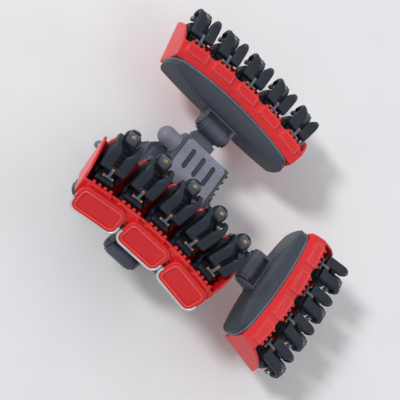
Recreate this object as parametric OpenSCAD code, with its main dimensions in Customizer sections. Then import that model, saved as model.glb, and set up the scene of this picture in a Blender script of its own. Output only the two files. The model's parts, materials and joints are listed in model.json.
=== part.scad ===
// Roller coaster car: three pitching seat gondolas carried on arms around a central hub.
// Millimetres. +X is forward, +Y is left, +Z is up.
// The origin is on the track's centre line, midway between the axles, level with the underside
// of the up-stop wheels.

/* [Seating] */
// Distance between neighbouring seats along a row
seat_pitch = 580; // [560:5:620]
// Width of one seat over its side bolsters
seat_w = 500; // [480:5:510]
// Height of a seat's head top above the deck
seat_h = 1280; // [1220:10:1340]
// Height of a seat's shoulders above the deck
shoulder_h = 950; // [900:10:980]
// Height of the seat cushion above the deck
pan_h = 420; // [390:5:450]
// Thickness of a seat back
back_t = 130; // [110:5:140]

/* [Restraint] */
// Diameter of the padded tubes behind the shoulders
tube_d = 90; // [70:2:92]
// Distance between the two shoulder tubes, centre to centre
tube_spread = 400; // [396:2:410]
// Radius of the bend over the shoulder
shoulder_r = 190; // [180:5:200]
// Width of one chest pad
pad_w = 190; // [160:5:195]
// Thickness of the chest pads
pad_t = 104; // [100:1:106]
// Diameter of the lap pad that joins the chest pads
lap_d = 112; // [110:2:120]
// Height of the lap pad's centre above the deck
lap_z = 640; // [620:5:680]

/* [Gondola] */
// Radius of the arc that each row of seats stands on
arc_r = 7000; // [6000:100:9000]
// Distance from the pitch axis to the top of the hull
deck_d = 600; // [580:5:640]
// Distance from the pitch axis to the flat keel
keel_d = 225; // [220:5:250]
// Half the depth of the hull at the deck
hull_half = 330; // [310:5:340]
// Height of the hull's side at its two ends
hull_end = 120; // [90:5:150]
// Height of the front fascia above the deck line
fascia_h = 300; // [260:10:330]
// How far the fascia flares out beyond the hull
flare = 50; // [30:5:70]
// Thickness of the moulded walls
wall_t = 45; // [35:1:55]
// Height of the tray's continuous back wall above the deck line
back_wall_h = 760; // [600:10:800]
// Height of the rounded shell behind each seat
shell_h = 1000; // [940:10:1020]

/* [Layout] */
// Height of the pitch axes above the ground
pivot_z = 1250; // [1230:10:1300]
// Distance of the side pitch axes from the centre line
side_pivot = 1450; // [1440:5:1500]
// Distance of the front pitch axis ahead of the hub's centre
front_pivot = 2110; // [2110:5:2200]
// Recline of the left row from upright
left_recline = 90; // [75:1:100]
// Recline of the front row from upright
front_recline = 90; // [75:1:100]
// Recline of the right row from upright
right_recline = 45; // [30:1:46]

/* [Pitch pivots] */
// Diameter of the pitch shafts
pitch_d = 120; // [90:2:140]
// Outside diameter of the barrels that the shafts turn in
barrel_d = 330; // [280:10:340]
// Length of a barrel
barrel_l = 560; // [500:10:600]
// Width of an arm
arm_w = 400; // [340:10:460]

/* [Hub] */
// Half the length of the hub housing
hub_half_x = 780; // [740:10:800]
// Half the width of the hub housing
hub_half_y = 620; // [580:10:640]
// Height of the drive housing above the hub housing
drive_h = 400; // [380:10:420]
// Diameter of the drive motor
motor_d = 340; // [280:10:350]

/* [Running gear] */
// Distance between the rails, centre to centre
gauge = 1200; // [1150:10:1300]
// Distance between the two axles
wheelbase = 1800; // [1700:10:2000]
// Diameter of the rail that the wheels grip
rail_d = 160; // [140:5:180]
// Diameter of the running wheels
run_d = 320; // [300:10:340]
// Width of the running wheels
run_w = 80; // [70:2:90]
// Diameter of the guide wheels at the rails' inner sides
guide_d = 200; // [180:5:220]
// Width of the guide wheels over their hubs
guide_w = 60; // [50:2:70]
// Diameter of the up-stop wheels under the rails
upstop_d = 180; // [160:5:200]
// Width of the up-stop wheels over their hubs
upstop_w = 60; // [50:2:70]

/* [Hidden] */
$fn = 64;
big_fn = 720;
eps = 1;

side_seats = 5;
front_seats = 4;

// clearances
fit = 0.05;
rail_clear = 5;
thrust_gap = 0.6;
hub_overhang = 5;

// heights set by the rail that the wheels hold
upstop_z = upstop_d / 2;
rail_z = upstop_d + rail_clear + rail_d / 2;
run_z = rail_z + rail_d / 2 + run_d / 2;
rail_y = gauge / 2;
guide_y = rail_y - rail_d / 2 - rail_clear - guide_d / 2;
axle_x = wheelbase / 2;

red = [0.85, 0.16, 0.17];
slate = [0.23, 0.25, 0.30];
lilac_grey = [0.54, 0.54, 0.60];
graphite = [0.13, 0.15, 0.19];
steel = [0.55, 0.57, 0.60];
silver = [0.78, 0.80, 0.82];
tyre_grey = [0.20, 0.20, 0.21];

// chassis heights, all stacked on the axles
beam_h = 130;
beam_w = 140;
beam_top = run_z + beam_h / 2;
frame_h = 130;
frame_top = beam_top + frame_h;
frame_overhang = 200;
frame_half_l = axle_x + frame_overhang;
side_beam_y = 290;
side_beam_w = 80;
spine_w = 120;
hub_top = pivot_z + 100;
hub_foot_h = 70;
drive_x = [-480, 560];
drive_y = [-150, 900];
drive_top = hub_top + drive_h;
cover_t = 40;
cover_inset = 70;

// wheel carriers stand just outside the rails
shaft_d = 60;
pin_d = 50;
shaft_collar_d = 96;
pin_collar_d = 76;
pin_cap_t = 14;
carrier_t = 40;
carrier_y = rail_y + rail_d / 2 + 15;
beam_half = rail_y - run_w / 2 - 20;

// gondola section, measured forward and up from the deck line on the arc
keel_half = 190;
keel_cut = 15;
floor_t = 60;
tray_back = hull_half;
tray_front = hull_half + 10;
fascia_lip = 100;
fascia_front = tray_front + flare;
panel_t = 28;
shell_proud = 8;
wing_r = 840;
wing_set_back = 110;

// seat and restraint places in a seat's own frame: X along the row, -Y forward, Z up from the deck
seat_gap = 12;
seat_rear = tray_back + shell_proud - wall_t - seat_gap;
seat_face = seat_rear - back_t;
head_w = 290;
bolster_t = 52;
bolster_l = 165;
pan_t = 130;
pan_front = 200;
hinge_d = 40;
hinge_y = seat_rear - back_t / 2;
hinge_z = shoulder_h + 66;
eye_d = 96;
eye_w = 70;
bend_back = 155;
bend_y = hinge_y - shoulder_r * sin(bend_back - 90) - 28;
bend_z = hinge_z - shoulder_r * cos(bend_back - 90);
chest_y = bend_y - shoulder_r;

function deg_of(length) = length / arc_r * 180 / PI;
function seat_at(i, n) = deg_of((i - (n + 1) / 2) * seat_pitch);
function half_len(n) = n * seat_pitch / 2 + wall_t;
function half_sweep(n) = deg_of(half_len(n));

// Gondola frames: local X along the row, -Y to the riders' front, Z to their up, origin on the pitch axis
module on_left() {
    translate([0, side_pivot, pivot_z]) rotate([-left_recline, 0, 0]) children();
}
module on_right() {
    translate([0, -side_pivot, pivot_z]) rotate([-right_recline, 0, 0]) children();
}
module on_front() {
    translate([front_pivot, 0, pivot_z]) rotate([0, 0, -90]) rotate([-front_recline, 0, 0]) children();
}

// A place on the deck arc, and a profile of (radius, forward) points swept along it
module on_arc(angle) {
    translate([0, 0, deck_d - arc_r]) rotate([0, angle, 0]) translate([0, 0, arc_r]) children();
}
module along_arc(sweep) {
    translate([0, 0, deck_d - arc_r])
        rotate([90, 0, 0])
        rotate([0, 0, 90 - sweep / 2])
        rotate_extrude(angle = sweep, $fn = big_fn) children();
}

// Outlines and plain bars

module rounded_rect(w, h, r) {
    square([w - 2 * r, h], center = true);
    square([w, h - 2 * r], center = true);
    for (sx = [-1, 1], sy = [-1, 1]) translate([sx * (w / 2 - r), sy * (h / 2 - r)]) circle(r);
}

module chamfered_rect(x, y, c) {
    polygon([[x[0] + c, y[0]], [x[1] - c, y[0]], [x[1], y[0] + c], [x[1], y[1] - c],
             [x[1] - c, y[1]], [x[0] + c, y[1]], [x[0], y[1] - c], [x[0], y[0] + c]]);
}

// A round-headed outline standing on the line y = foot
module arch(w, foot, top) {
    translate([-w / 2, foot]) square([w, top - w / 2 - foot]);
    translate([0, top - w / 2]) circle(w / 2);
}

// A cylinder along X, centred
module bar_x(d, l) {
    rotate([0, 90, 0]) cylinder(d = d, h = l, center = true);
}

// A (forward, up) outline of the seat or tray, given as (Y, Z), thickened along X about its middle
module slab_x(t) {
    rotate([90, 0, 90]) linear_extrude(t, center = true) children();
}

// An (X, Z) outline thickened from the plane Y = y towards the front
module slab_front(y, t) {
    translate([0, y, 0]) rotate([90, 0, 0]) linear_extrude(t) children();
}

// Chassis

module chassis_frame() {
    color(graphite) translate([0, 0, beam_top]) {
        for (y = [-side_beam_y, side_beam_y])
            translate([-frame_half_l, y - side_beam_w / 2, 0]) cube([2 * frame_half_l, side_beam_w, frame_h]);
        translate([-frame_half_l, -spine_w / 2, 0]) cube([2 * frame_half_l, spine_w, frame_h]);
        for (x = [-axle_x, 0, axle_x])
            translate([x - beam_w / 2, -side_beam_y, 0]) cube([beam_w, 2 * side_beam_y, frame_h]);
    }
}

// Welded hub: a flanged foot, a ribbed body and a stepped shoulder under the drive
module hub_housing() {
    foot_out = 45;
    corner = 130;
    step_h = 130;
    step_in = 70;
    rib_w = 46;
    rib_out = 32;
    rib_pitch = 190;
    body_h = hub_top - frame_top - step_h;
    half = [hub_half_x, hub_half_y];
    color(slate) translate([0, 0, frame_top]) {
        linear_extrude(hub_foot_h)
            chamfered_rect([-half[0] - foot_out, half[0] + foot_out], [-half[1] - foot_out, half[1] + foot_out], corner);
        linear_extrude(body_h) chamfered_rect([-half[0], half[0]], [-half[1], half[1]], corner);
        linear_extrude(body_h + step_h)
            chamfered_rect([step_in - half[0], half[0] - step_in], [step_in - half[1], half[1] - step_in], corner);
        for (k = [-1.5, -0.5, 0.5, 1.5])
            translate([-half[0] - rib_out, k * rib_pitch - rib_w / 2, hub_foot_h / 2])
                cube([2 * rib_out, rib_w, body_h - hub_foot_h]);
        for (s = [-1, 1], k = [-2.5, -1.5, 1.5, 2.5])
            translate([k * rib_pitch - rib_w / 2, s * half[1] - rib_out, hub_foot_h / 2])
                cube([rib_w, 2 * rib_out, body_h - hub_foot_h]);
    }
}

// Gear casing on top of the hub: sloped sides and cooling fins on its front
module drive_housing() {
    slope = 110;
    fin_t = 26;
    fin_out = 55;
    fin_count = 6;
    fin_pitch = (drive_y[1] - drive_y[0] - 2 * slope) / fin_count;
    color(slate) translate([0, 0, hub_top]) {
        translate([drive_x[0], 0, 0]) rotate([90, 0, 90]) linear_extrude(drive_x[1] - drive_x[0])
            polygon([[drive_y[0], 0], [drive_y[1], 0], [drive_y[1], drive_h - slope], [drive_y[1] - slope / 2, drive_h],
                     [drive_y[0] + slope, drive_h], [drive_y[0], drive_h - slope]]);
        for (k = [0:fin_count])
            translate([drive_x[1] - eps, drive_y[0] + slope + k * fin_pitch - fin_t / 2, 0])
                cube([fin_out + eps, fin_t, drive_h - 60]);
    }
}

// Cover plate with three vent slots
module drive_cover() {
    slot_w = 96;
    slot_l = 420;
    slot_pitch = 240;
    mid_x = (drive_x[0] + drive_x[1]) / 2;
    slot_set_back = 400;
    slot_y = drive_y[1] - slot_set_back;
    color(lilac_grey) translate([0, 0, drive_top]) difference() {
        linear_extrude(cover_t) chamfered_rect([drive_x[0] + cover_inset, drive_x[1] - cover_inset],
                                               [drive_y[0] + cover_inset + 40, drive_y[1] - cover_inset], 60);
        for (k = [-1, 0, 1])
            translate([mid_x + k * slot_pitch, slot_y, -1]) linear_extrude(cover_t + 2)
                rounded_rect(slot_w, slot_l, slot_w / 2 - 1);
    }
}

// Drive motor at the hub's rear left, with a flange and a domed end
module drive_motor() {
    motor_l = 230;
    motor_y = drive_y[1] - motor_d / 2 - 90;
    flange_d = motor_d + 40;
    flange_t = 40;
    color(lilac_grey) translate([drive_x[0], motor_y, hub_top + motor_d / 2 + 30]) rotate([0, -90, 0]) {
        cylinder(d = flange_d, h = flange_t);
        cylinder(d = motor_d, h = motor_l);
        translate([0, 0, motor_l]) sphere(d = motor_d);
    }
}

// An arm in its own frame: local X along the pitch axis, Y outward, from the hub's face to the barrel
module arm(root, reach) {
    seat_in = 20;
    root_foot = frame_top + hub_foot_h;
    root_h = 360;
    root_z = [root_foot + seat_in, frame_top + root_h];
    tip_z = [pivot_z - barrel_d / 2 + 10, pivot_z - 30];
    collar_w = arm_w + 110;
    collar_y = [reach - barrel_d / 2 - 190, reach - barrel_d / 2 - 40];
    root_l = 120;
    color(slate) difference() {
        union() {
            slab_x(arm_w) polygon([[root, root_z[0]], [reach, tip_z[0]], [reach, tip_z[1]], [root, root_z[1]]]);
            slab_x(arm_w + 80) polygon([[root, root_foot], [root + root_l, root_foot],
                                        [root + root_l, root_z[1] - 10], [root, root_z[1] + 30]]);
            slab_x(collar_w) polygon([[collar_y[0], tip_z[0] - 90], [collar_y[1], tip_z[0] - 40],
                                      [collar_y[1], tip_z[1] - 20], [collar_y[0], tip_z[1] - 40]]);
            translate([0, reach, pivot_z]) bar_x(barrel_d, barrel_l - 2 * 60);
            for (s = [-1, 1]) translate([s * (barrel_l / 2 - 35), reach, pivot_z]) bar_x(barrel_d - 30, 70);
        }
        translate([0, reach, pivot_z]) bar_x(pitch_d + 2 * fit, barrel_l + 2);
    }
}
module arm_left() { arm(hub_half_y, side_pivot); }
module arm_right() { rotate([0, 0, 180]) arm(hub_half_y, side_pivot); }
module arm_front() { rotate([0, 0, -90]) arm(hub_half_x, front_pivot); }

// Tow tongue with an eye, bolted to the frame's rear end
module rear_coupler() {
    tongue_l = 260;
    tongue_h = 70;
    tongue_w = 110;
    tongue_eye_d = 150;
    bore_d = 60;
    plate_t = 30;
    plate_w = 260;
    tongue_z = beam_top + (frame_h - tongue_h) / 2;
    color(steel) translate([-frame_half_l, 0, tongue_z]) difference() {
        union() {
            translate([-tongue_l, -tongue_w / 2, 0]) cube([tongue_l, tongue_w, tongue_h]);
            translate([-tongue_l, 0, 0]) cylinder(d = tongue_eye_d, h = tongue_h);
            translate([-plate_t, -plate_w / 2, -20]) cube([plate_t, plate_w, tongue_h + 40]);
        }
        translate([-tongue_l, 0, -1]) cylinder(d = bore_d, h = tongue_h + 2);
    }
}

// Running-wheel shaft and guide-wheel pin on one end of an axle beam
module axle_end(s) {
    pin_low = rail_z - guide_w / 2 - thrust_gap - pin_cap_t;
    beam_low = beam_top - beam_h;
    guide_top = rail_z + guide_w / 2 + thrust_gap;
    translate([0, s * beam_half, run_z]) rotate([-s * 90, 0, 0]) {
        cylinder(d = shaft_d, h = carrier_y - beam_half);
        cylinder(d = shaft_collar_d, h = rail_y - run_w / 2 - hub_overhang - thrust_gap - beam_half);
    }
    translate([0, s * guide_y, pin_low]) {
        cylinder(d = pin_d, h = beam_low - pin_low);
        cylinder(d = pin_collar_d, h = pin_cap_t);
    }
    translate([0, s * guide_y, guide_top]) cylinder(d = pin_collar_d, h = beam_low - guide_top);
}

module axle(x) {
    color(graphite) translate([x, 0, 0]) {
        translate([-beam_w / 2, -beam_half, beam_top - beam_h]) cube([beam_w, 2 * beam_half, beam_h]);
        for (s = [-1, 1]) axle_end(s);
    }
}
module axle_front() { axle(axle_x); }
module axle_rear() { axle(-axle_x); }

// One outboard plate with its up-stop pin, for the wheel set on the left
module wheel_carrier() {
    head_d = 190;
    foot_d = 120;
    cap_y = rail_y - upstop_w / 2 - thrust_gap - pin_cap_t;
    upstop_outer = rail_y + upstop_w / 2 + thrust_gap;
    run_outer = rail_y + run_w / 2 + hub_overhang + thrust_gap;
    slab_front(carrier_y + carrier_t, carrier_t) {
        polygon([[-head_d / 2 + 8, run_z], [head_d / 2 - 8, run_z], [foot_d / 2 - 6, upstop_z], [6 - foot_d / 2, upstop_z]]);
        translate([0, run_z]) circle(d = head_d);
        translate([0, upstop_z]) circle(d = foot_d);
    }
    translate([0, cap_y, upstop_z]) rotate([-90, 0, 0]) {
        cylinder(d = pin_d, h = carrier_y - cap_y + eps);
        cylinder(d = pin_collar_d, h = pin_cap_t);
    }
    translate([0, upstop_outer, upstop_z]) rotate([-90, 0, 0])
        cylinder(d = pin_collar_d, h = carrier_y - upstop_outer + eps);
    translate([0, run_outer, run_z]) rotate([-90, 0, 0]) difference() {
        cylinder(d = shaft_collar_d, h = carrier_y - run_outer + eps);
        translate([0, 0, -1]) cylinder(d = shaft_d + 2 * fit, h = carrier_y - run_outer + 1);
    }
}

module wheel_carriers() {
    color(steel) for (sx = [-1, 1], sy = [0, 1])
        translate([sx * axle_x, 0, 0]) mirror([0, sy, 0]) wheel_carrier();
}

module brake_fin() {
    fin_t = 24;
    fin_h = 170;
    fin_l = 1200;
    lead = 90;
    color(steel) translate([0, fin_t / 2, beam_top]) rotate([90, 0, 0]) linear_extrude(fin_t)
        polygon([[-fin_l / 2, 0], [fin_l / 2, 0], [fin_l / 2, -fin_h + lead], [fin_l / 2 - lead, -fin_h],
                 [lead - fin_l / 2, -fin_h], [-fin_l / 2, -fin_h + lead]]);
}

// Hook that the lift chain pushes against
module chain_dog() {
    dog_w = 90;
    dog_set_back = 240;
    color(steel) translate([axle_x - dog_set_back, dog_w / 2, beam_top]) rotate([90, 0, 0]) linear_extrude(dog_w)
        polygon([[-60, 0], [60, 0], [50, -90], [10, -180], [-50, -180], [-20, -120], [-50, -70]]);
}

// Wheels

// A wheel about Z, centred: hub, web and crowned tread in one profile
module wheel(d, w, bore) {
    hub_w = w + 2 * hub_overhang;
    hub_r = bore / 2 + d * 0.08;
    rim_r = d * 0.36;
    web = w * 0.45;
    crown = 8;
    rotate_extrude() {
        translate([bore / 2, -hub_w / 2]) square([hub_r - bore / 2, hub_w]);
        translate([hub_r - eps, -web / 2]) square([rim_r - hub_r + 2 * eps, web]);
        translate([rim_r, -w / 2]) square([d / 2 - rim_r - crown, w]);
        translate([rim_r, crown - w / 2]) square([d / 2 - rim_r, w - 2 * crown]);
        for (s = [-1, 1]) translate([d / 2 - crown, s * (w / 2 - crown)]) circle(crown);
    }
}

module run_wheel(sx, sy) {
    color(tyre_grey) translate([sx * axle_x, sy * rail_y, run_z]) rotate([90, 0, 0])
        wheel(run_d, run_w, shaft_d + 2 * fit);
}
module guide_wheel(sx, sy) {
    color(tyre_grey) translate([sx * axle_x, sy * guide_y, rail_z])
        wheel(guide_d, guide_w - 2 * hub_overhang, pin_d + 2 * fit);
}
module upstop_wheel(sx, sy) {
    color(tyre_grey) translate([sx * axle_x, sy * rail_y, upstop_z]) rotate([90, 0, 0])
        wheel(upstop_d, upstop_w - 2 * hub_overhang, pin_d + 2 * fit);
}

// Gondolas

// Fork under the keel with the shaft that turns in an arm's barrel
module pivot_fork() {
    plate_t = 28;
    ear_t = 50;
    ear_gap = 8;
    ear_w = 220;
    ear_x = barrel_l / 2 + ear_gap + ear_t / 2;
    shaft_end = 20;
    plate_over = 20;
    plate_w = 350;
    plate = [2 * (ear_x + ear_t / 2 + plate_over), plate_w];
    color(steel) {
        translate([-plate[0] / 2, -plate[1] / 2, keel_d - plate_t]) cube([plate[0], plate[1], plate_t]);
        for (s = [-1, 1]) translate([s * ear_x, 0, 0]) {
            bar_x(ear_w, ear_t);
            slab_x(ear_t) polygon([[-ear_w / 2, 0], [ear_w / 2, 0], [ear_w / 2 + 40, keel_d - plate_t + eps],
                                   [-ear_w / 2 - 40, keel_d - plate_t + eps]]);
        }
        bar_x(pitch_d, 2 * ear_x + ear_t + 2 * shaft_end);
    }
}

// Boat-shaped hull: the side view, plan and cross-section outlines cut one another
module gondola_hull(n) {
    half = arc_r * sin(half_sweep(n));
    low_z = keel_d - keel_cut;
    rise = deck_d - arc_r * (1 - cos(half_sweep(n))) - hull_end - low_z;
    keel_r = (half * half + rise * rise) / (2 * rise);
    depth = deck_d - keel_d;
    bilge_z = (deck_d + keel_d) / 2 + (hull_half * hull_half - keel_half * keel_half) / (2 * depth);
    bilge_r = norm([hull_half, deck_d - bilge_z]);
    end_r = 300;
    plan_room = 24;
    color(slate) intersection() {
        rotate([90, 0, 0]) linear_extrude(4 * hull_half, center = true) intersection() {
            translate([0, deck_d - arc_r]) circle(arc_r, $fn = big_fn);
            translate([0, low_z + keel_r]) circle(keel_r, $fn = big_fn);
        }
        translate([0, 0, keel_d]) linear_extrude(depth + 1) rounded_rect(2 * half, 2 * bilge_r + plan_room, end_r);
        rotate([90, 0, 90]) linear_extrude(2 * half + 2, center = true)
            translate([0, bilge_z]) circle(bilge_r, $fn = 180);
    }
}

// End panel of the tray, a little proud of the tray's cut end; side is -1 or 1 along the row
module wing(side) {
    proud = 4;
    inset = 6;
    translate([side * (proud - wall_t) / 2, 0, 0]) slab_x(wall_t + proud) intersection() {
        translate([inset - fascia_front + flare / 2, floor_t / 2])
            square([fascia_front - flare / 2 + tray_back - 2 * inset, wing_r]);
        translate([tray_back + wing_set_back, 0]) circle(wing_r, $fn = 180);
    }
}

// Red moulding: floor, flared front fascia with a calf panel per seat, back shells and end wings
module gondola_tray(n) {
    panel_w = seat_pitch - 105;
    panel_foot = fascia_lip + 12;
    panel_rise = 36;
    panel_h = fascia_h + panel_rise - panel_foot;
    shell_w = seat_w - 16;
    color(red) {
        along_arc(2 * half_sweep(n)) translate([arc_r, 0]) polygon([
            [fit, -tray_back], [back_wall_h, -tray_back], [back_wall_h, wall_t - tray_back],
            [floor_t, wall_t - tray_back], [floor_t, tray_front - 2 * wall_t],
            [fascia_lip + 20, fascia_front - wall_t], [fascia_h, fascia_front - wall_t],
            [fascia_h, fascia_front], [fascia_lip, fascia_front], [fit, tray_front]]);
        for (i = [1:n]) on_arc(seat_at(i, n)) {
            slab_front(wall_t / 2 - fascia_front, wall_t / 2 + panel_t)
                translate([0, panel_foot + panel_h / 2]) rounded_rect(panel_w, panel_h, 36);
            slab_front(tray_back + shell_proud, wall_t) arch(shell_w, floor_t / 2, shell_h);
        }
        on_arc(half_sweep(n)) wing(1);
        on_arc(-half_sweep(n)) wing(-1);
    }
}

module seat_outline() {
    corner = 130;
    translate([0, (floor_t + shoulder_h) / 2]) rounded_rect(seat_w, shoulder_h - floor_t, corner);
    arch(head_w, shoulder_h - corner, seat_h);
}

// Bucket seat: tall back with a round head, side bolsters, a cushion with a round front and a base
module seat() {
    bolster_top = shoulder_h - 70;
    bolster_r = 110;
    base_in = 45;
    base_l = 330;
    base = [seat_w - 2 * base_in, base_l];
    slab_front(seat_rear, back_t) seat_outline();
    for (s = [-1, 1]) translate([s * (seat_w - bolster_t) / 2, 0, 0]) slab_x(bolster_t) {
        translate([seat_face - bolster_l, pan_h - pan_t + 20])
            square([bolster_l + eps, bolster_top - bolster_r - pan_h + pan_t - 20]);
        translate([seat_face - bolster_l + bolster_r, pan_h])
            square([bolster_l - bolster_r + eps, bolster_top - pan_h]);
        translate([seat_face - bolster_l + bolster_r, bolster_top - bolster_r]) circle(bolster_r);
    }
    slab_x(seat_w - 8) {
        translate([pan_t / 2 - pan_front, pan_h - pan_t]) square([pan_front - pan_t / 2 + seat_face + eps, pan_t]);
        translate([pan_t / 2 - pan_front, pan_h - pan_t / 2]) circle(d = pan_t);
    }
    translate([-base[0] / 2, seat_rear - base[1], floor_t]) cube([base[0], base[1], pan_h - pan_t / 2 - floor_t]);
    translate([0, hinge_y, hinge_z]) bar_x(hinge_d, tube_spread + eye_w + 16);
}

module row_seats(n) {
    color(graphite) for (i = [1:n]) on_arc(seat_at(i, n)) seat();
}

// One side of a restraint: hinge eye, tube behind the shoulder, broad band over it and chest pad
module harness_side() {
    pad_in = 10;
    band_w = pad_w - 44;
    band_t = pad_t - 6;
    band_end = 65;
    overlap = 10;
    outer = tube_spread / 2 + pad_w / 2 - 35;
    translate([tube_spread / 2, hinge_y, hinge_z]) bar_x(eye_d, eye_w);
    translate([tube_spread / 2, bend_y, bend_z]) rotate([90, 0, -90]) rotate([0, 0, band_end - overlap])
        rotate_extrude(angle = bend_back - band_end + overlap) translate([shoulder_r, 0]) circle(d = tube_d);
    translate([outer - 4 - band_w / 2, bend_y, bend_z]) rotate([90, 0, -90])
        rotate_extrude(angle = band_end) translate([shoulder_r, 0]) rounded_rect(band_t, band_w, 30);
    translate([outer - pad_w / 2, chest_y, lap_z - pad_in])
        linear_extrude(bend_z + 30 + pad_in - lap_z) rounded_rect(pad_w, pad_t, 44);
}

// Over-shoulder restraint of one seat, closed: two padded sides, a lap pad and a T handle
module harness() {
    stem = [64, 46];
    stem_y = chest_y - lap_d / 2 + 16;
    handle_z = lap_z - 150;
    handle_d = 48;
    handle_l = 210;
    color(graphite) difference() {
        union() {
            harness_side();
            mirror([1, 0, 0]) harness_side();
            translate([0, chest_y, lap_z]) bar_x(lap_d, tube_spread + tube_d);
            translate([-stem[0] / 2, stem_y - stem[1], handle_z]) cube([stem[0], stem[1], lap_z - handle_z]);
            translate([0, stem_y - stem[1] / 2, handle_z]) bar_x(handle_d, handle_l);
        }
        translate([0, hinge_y, hinge_z]) bar_x(hinge_d + 2 * fit, tube_spread + 2 * eye_w);
    }
}

// Footwell pods on the front of the right row, each spanning a third of its length
pod_count = 3;
pod_gap = 70;
pod_w = 2 * half_len(side_seats) / pod_count - pod_gap;
pod_z = [-230, 270];
pod_corner = 150;
pod_t = 120;
rim_t = 34;

module each_pod() {
    step = deg_of(2 * half_len(side_seats) / pod_count);
    for (i = [0:pod_count - 1]) on_right() on_arc((i - (pod_count - 1) / 2) * step) children();
}
module pod_outline(out) {
    translate([0, (pod_z[0] + pod_z[1]) / 2])
        rounded_rect(pod_w + 2 * out, pod_z[1] - pod_z[0] + 2 * out, pod_corner + out);
}

module pods_right() {
    recess = 18;
    border = 70;
    face_y = -fascia_front - panel_t;
    color(red) each_pod() difference() {
        slab_front(face_y, pod_t) pod_outline(0);
        slab_front(face_y - pod_t + recess, recess + 1) pod_outline(-border);
    }
}

// Pale bumper strip round the lower edge of each pod
module pod_rims_right() {
    face_y = -fascia_front - panel_t;
    rim_l = 70;
    color(silver) each_pod() slab_front(face_y - pod_t + rim_l, rim_l) difference() {
        intersection() {
            pod_outline(rim_t / 2);
            translate([-pod_w, pod_z[0] - pod_corner]) square([2 * pod_w, 2 * pod_corner + 60]);
        }
        pod_outline(0);
    }
}

chassis_frame();
hub_housing();
drive_housing();
drive_cover();
drive_motor();
arm_left();
arm_right();
arm_front();
rear_coupler();
axle_front();
axle_rear();
wheel_carriers();
brake_fin();
chain_dog();
for (sx = [-1, 1], sy = [-1, 1]) {
    at = str(sx > 0 ? "f" : "r", sy > 0 ? "l" : "r");
    run_wheel(sx, sy);
    guide_wheel(sx, sy);
    upstop_wheel(sx, sy);
}
on_left() pivot_fork();  // pivot_left
on_front() pivot_fork();  // pivot_front
on_right() pivot_fork();  // pivot_right
on_left() gondola_hull(side_seats);  // hull_left
on_front() gondola_hull(front_seats);  // hull_front
on_right() gondola_hull(side_seats);  // hull_right
on_left() gondola_tray(side_seats);  // tray_left
on_front() gondola_tray(front_seats);  // tray_front
on_right() gondola_tray(side_seats);  // tray_right
on_left() row_seats(side_seats);  // seats_left
on_front() row_seats(front_seats);  // seats_front
on_right() row_seats(side_seats);  // seats_right
pods_right();
pod_rims_right();
for (i = [1:side_seats]) {
    on_left() on_arc(seat_at(i, side_seats)) harness();
    on_right() on_arc(seat_at(i, side_seats)) harness();
}
for (i = [1:front_seats])
    on_front() on_arc(seat_at(i, front_seats)) harness();
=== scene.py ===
"""Looks of a roller coaster car with three pitching rows of seats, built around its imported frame."""

import json
import math

import bmesh
import bpy
from mathutils import Matrix, Vector
from mathutils.bvhtree import BVHTree


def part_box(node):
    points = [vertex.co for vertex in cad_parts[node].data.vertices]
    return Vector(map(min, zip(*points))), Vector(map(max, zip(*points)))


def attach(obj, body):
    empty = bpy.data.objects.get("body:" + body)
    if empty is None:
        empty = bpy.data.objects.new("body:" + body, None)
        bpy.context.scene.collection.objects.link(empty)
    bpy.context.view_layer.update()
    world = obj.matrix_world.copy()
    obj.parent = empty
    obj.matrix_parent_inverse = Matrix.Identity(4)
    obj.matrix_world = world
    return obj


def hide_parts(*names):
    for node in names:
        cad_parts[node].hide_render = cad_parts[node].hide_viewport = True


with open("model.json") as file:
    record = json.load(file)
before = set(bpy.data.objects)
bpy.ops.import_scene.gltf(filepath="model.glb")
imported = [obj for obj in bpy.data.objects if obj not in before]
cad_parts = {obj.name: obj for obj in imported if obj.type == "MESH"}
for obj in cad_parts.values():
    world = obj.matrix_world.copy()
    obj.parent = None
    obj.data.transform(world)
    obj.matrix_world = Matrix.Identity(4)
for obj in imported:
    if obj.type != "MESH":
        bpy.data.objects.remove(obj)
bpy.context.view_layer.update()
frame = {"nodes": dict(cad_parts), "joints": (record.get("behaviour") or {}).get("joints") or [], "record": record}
nodes = frame["nodes"]
joints = {joint["name"]: joint for joint in frame["joints"]}

# Rows of seats, in metres and degrees as in the frame

SEATS = {"left": 5, "front": 4, "right": 5}
RECLINE = {"left": 90, "front": 90, "right": 45}
HEADING = {"left": 0, "front": -90, "right": 0}
SEAT_PITCH = 0.58
ARC_R = 7.0
DECK = 0.6
WALL = 0.045

# Seat and restraint places in a seat's own frame: X along the row, -Y to the front, Z up from the deck

SEAT_W = 0.5
SEAT_H = 1.28
SHOULDER_H = 0.95
SHOULDER_CORNER = 0.13
HEAD_W = 0.29
SEAT_REAR = 0.281
SEAT_FACE = 0.151
SEAT_MID = (SEAT_REAR + SEAT_FACE) / 2
PAN_H = 0.42
PAN_T = 0.13
PAN_FRONT = 0.2
BOLSTER_L = 0.165
HINGE_Y = SEAT_MID
HINGE_Z = SHOULDER_H + 0.066
TUBE_SPREAD = 0.4
SHOULDER_R = 0.19
BEND_BACK = 155
BEND_Y = HINGE_Y - SHOULDER_R * math.sin(math.radians(BEND_BACK - 90)) - 0.028
BEND_Z = HINGE_Z - SHOULDER_R * math.cos(math.radians(BEND_BACK - 90))
CHEST_Y = BEND_Y - SHOULDER_R
LAP_Z = 0.64
LAP_D = 0.112
HANDLE_Z = LAP_Z - 0.15
HANDLE_L = 0.21
STEM_D = 0.046
STEM_Y = CHEST_Y - LAP_D / 2 + 0.016 - STEM_D / 2

# Tray and hull places, measured from the deck line

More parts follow.
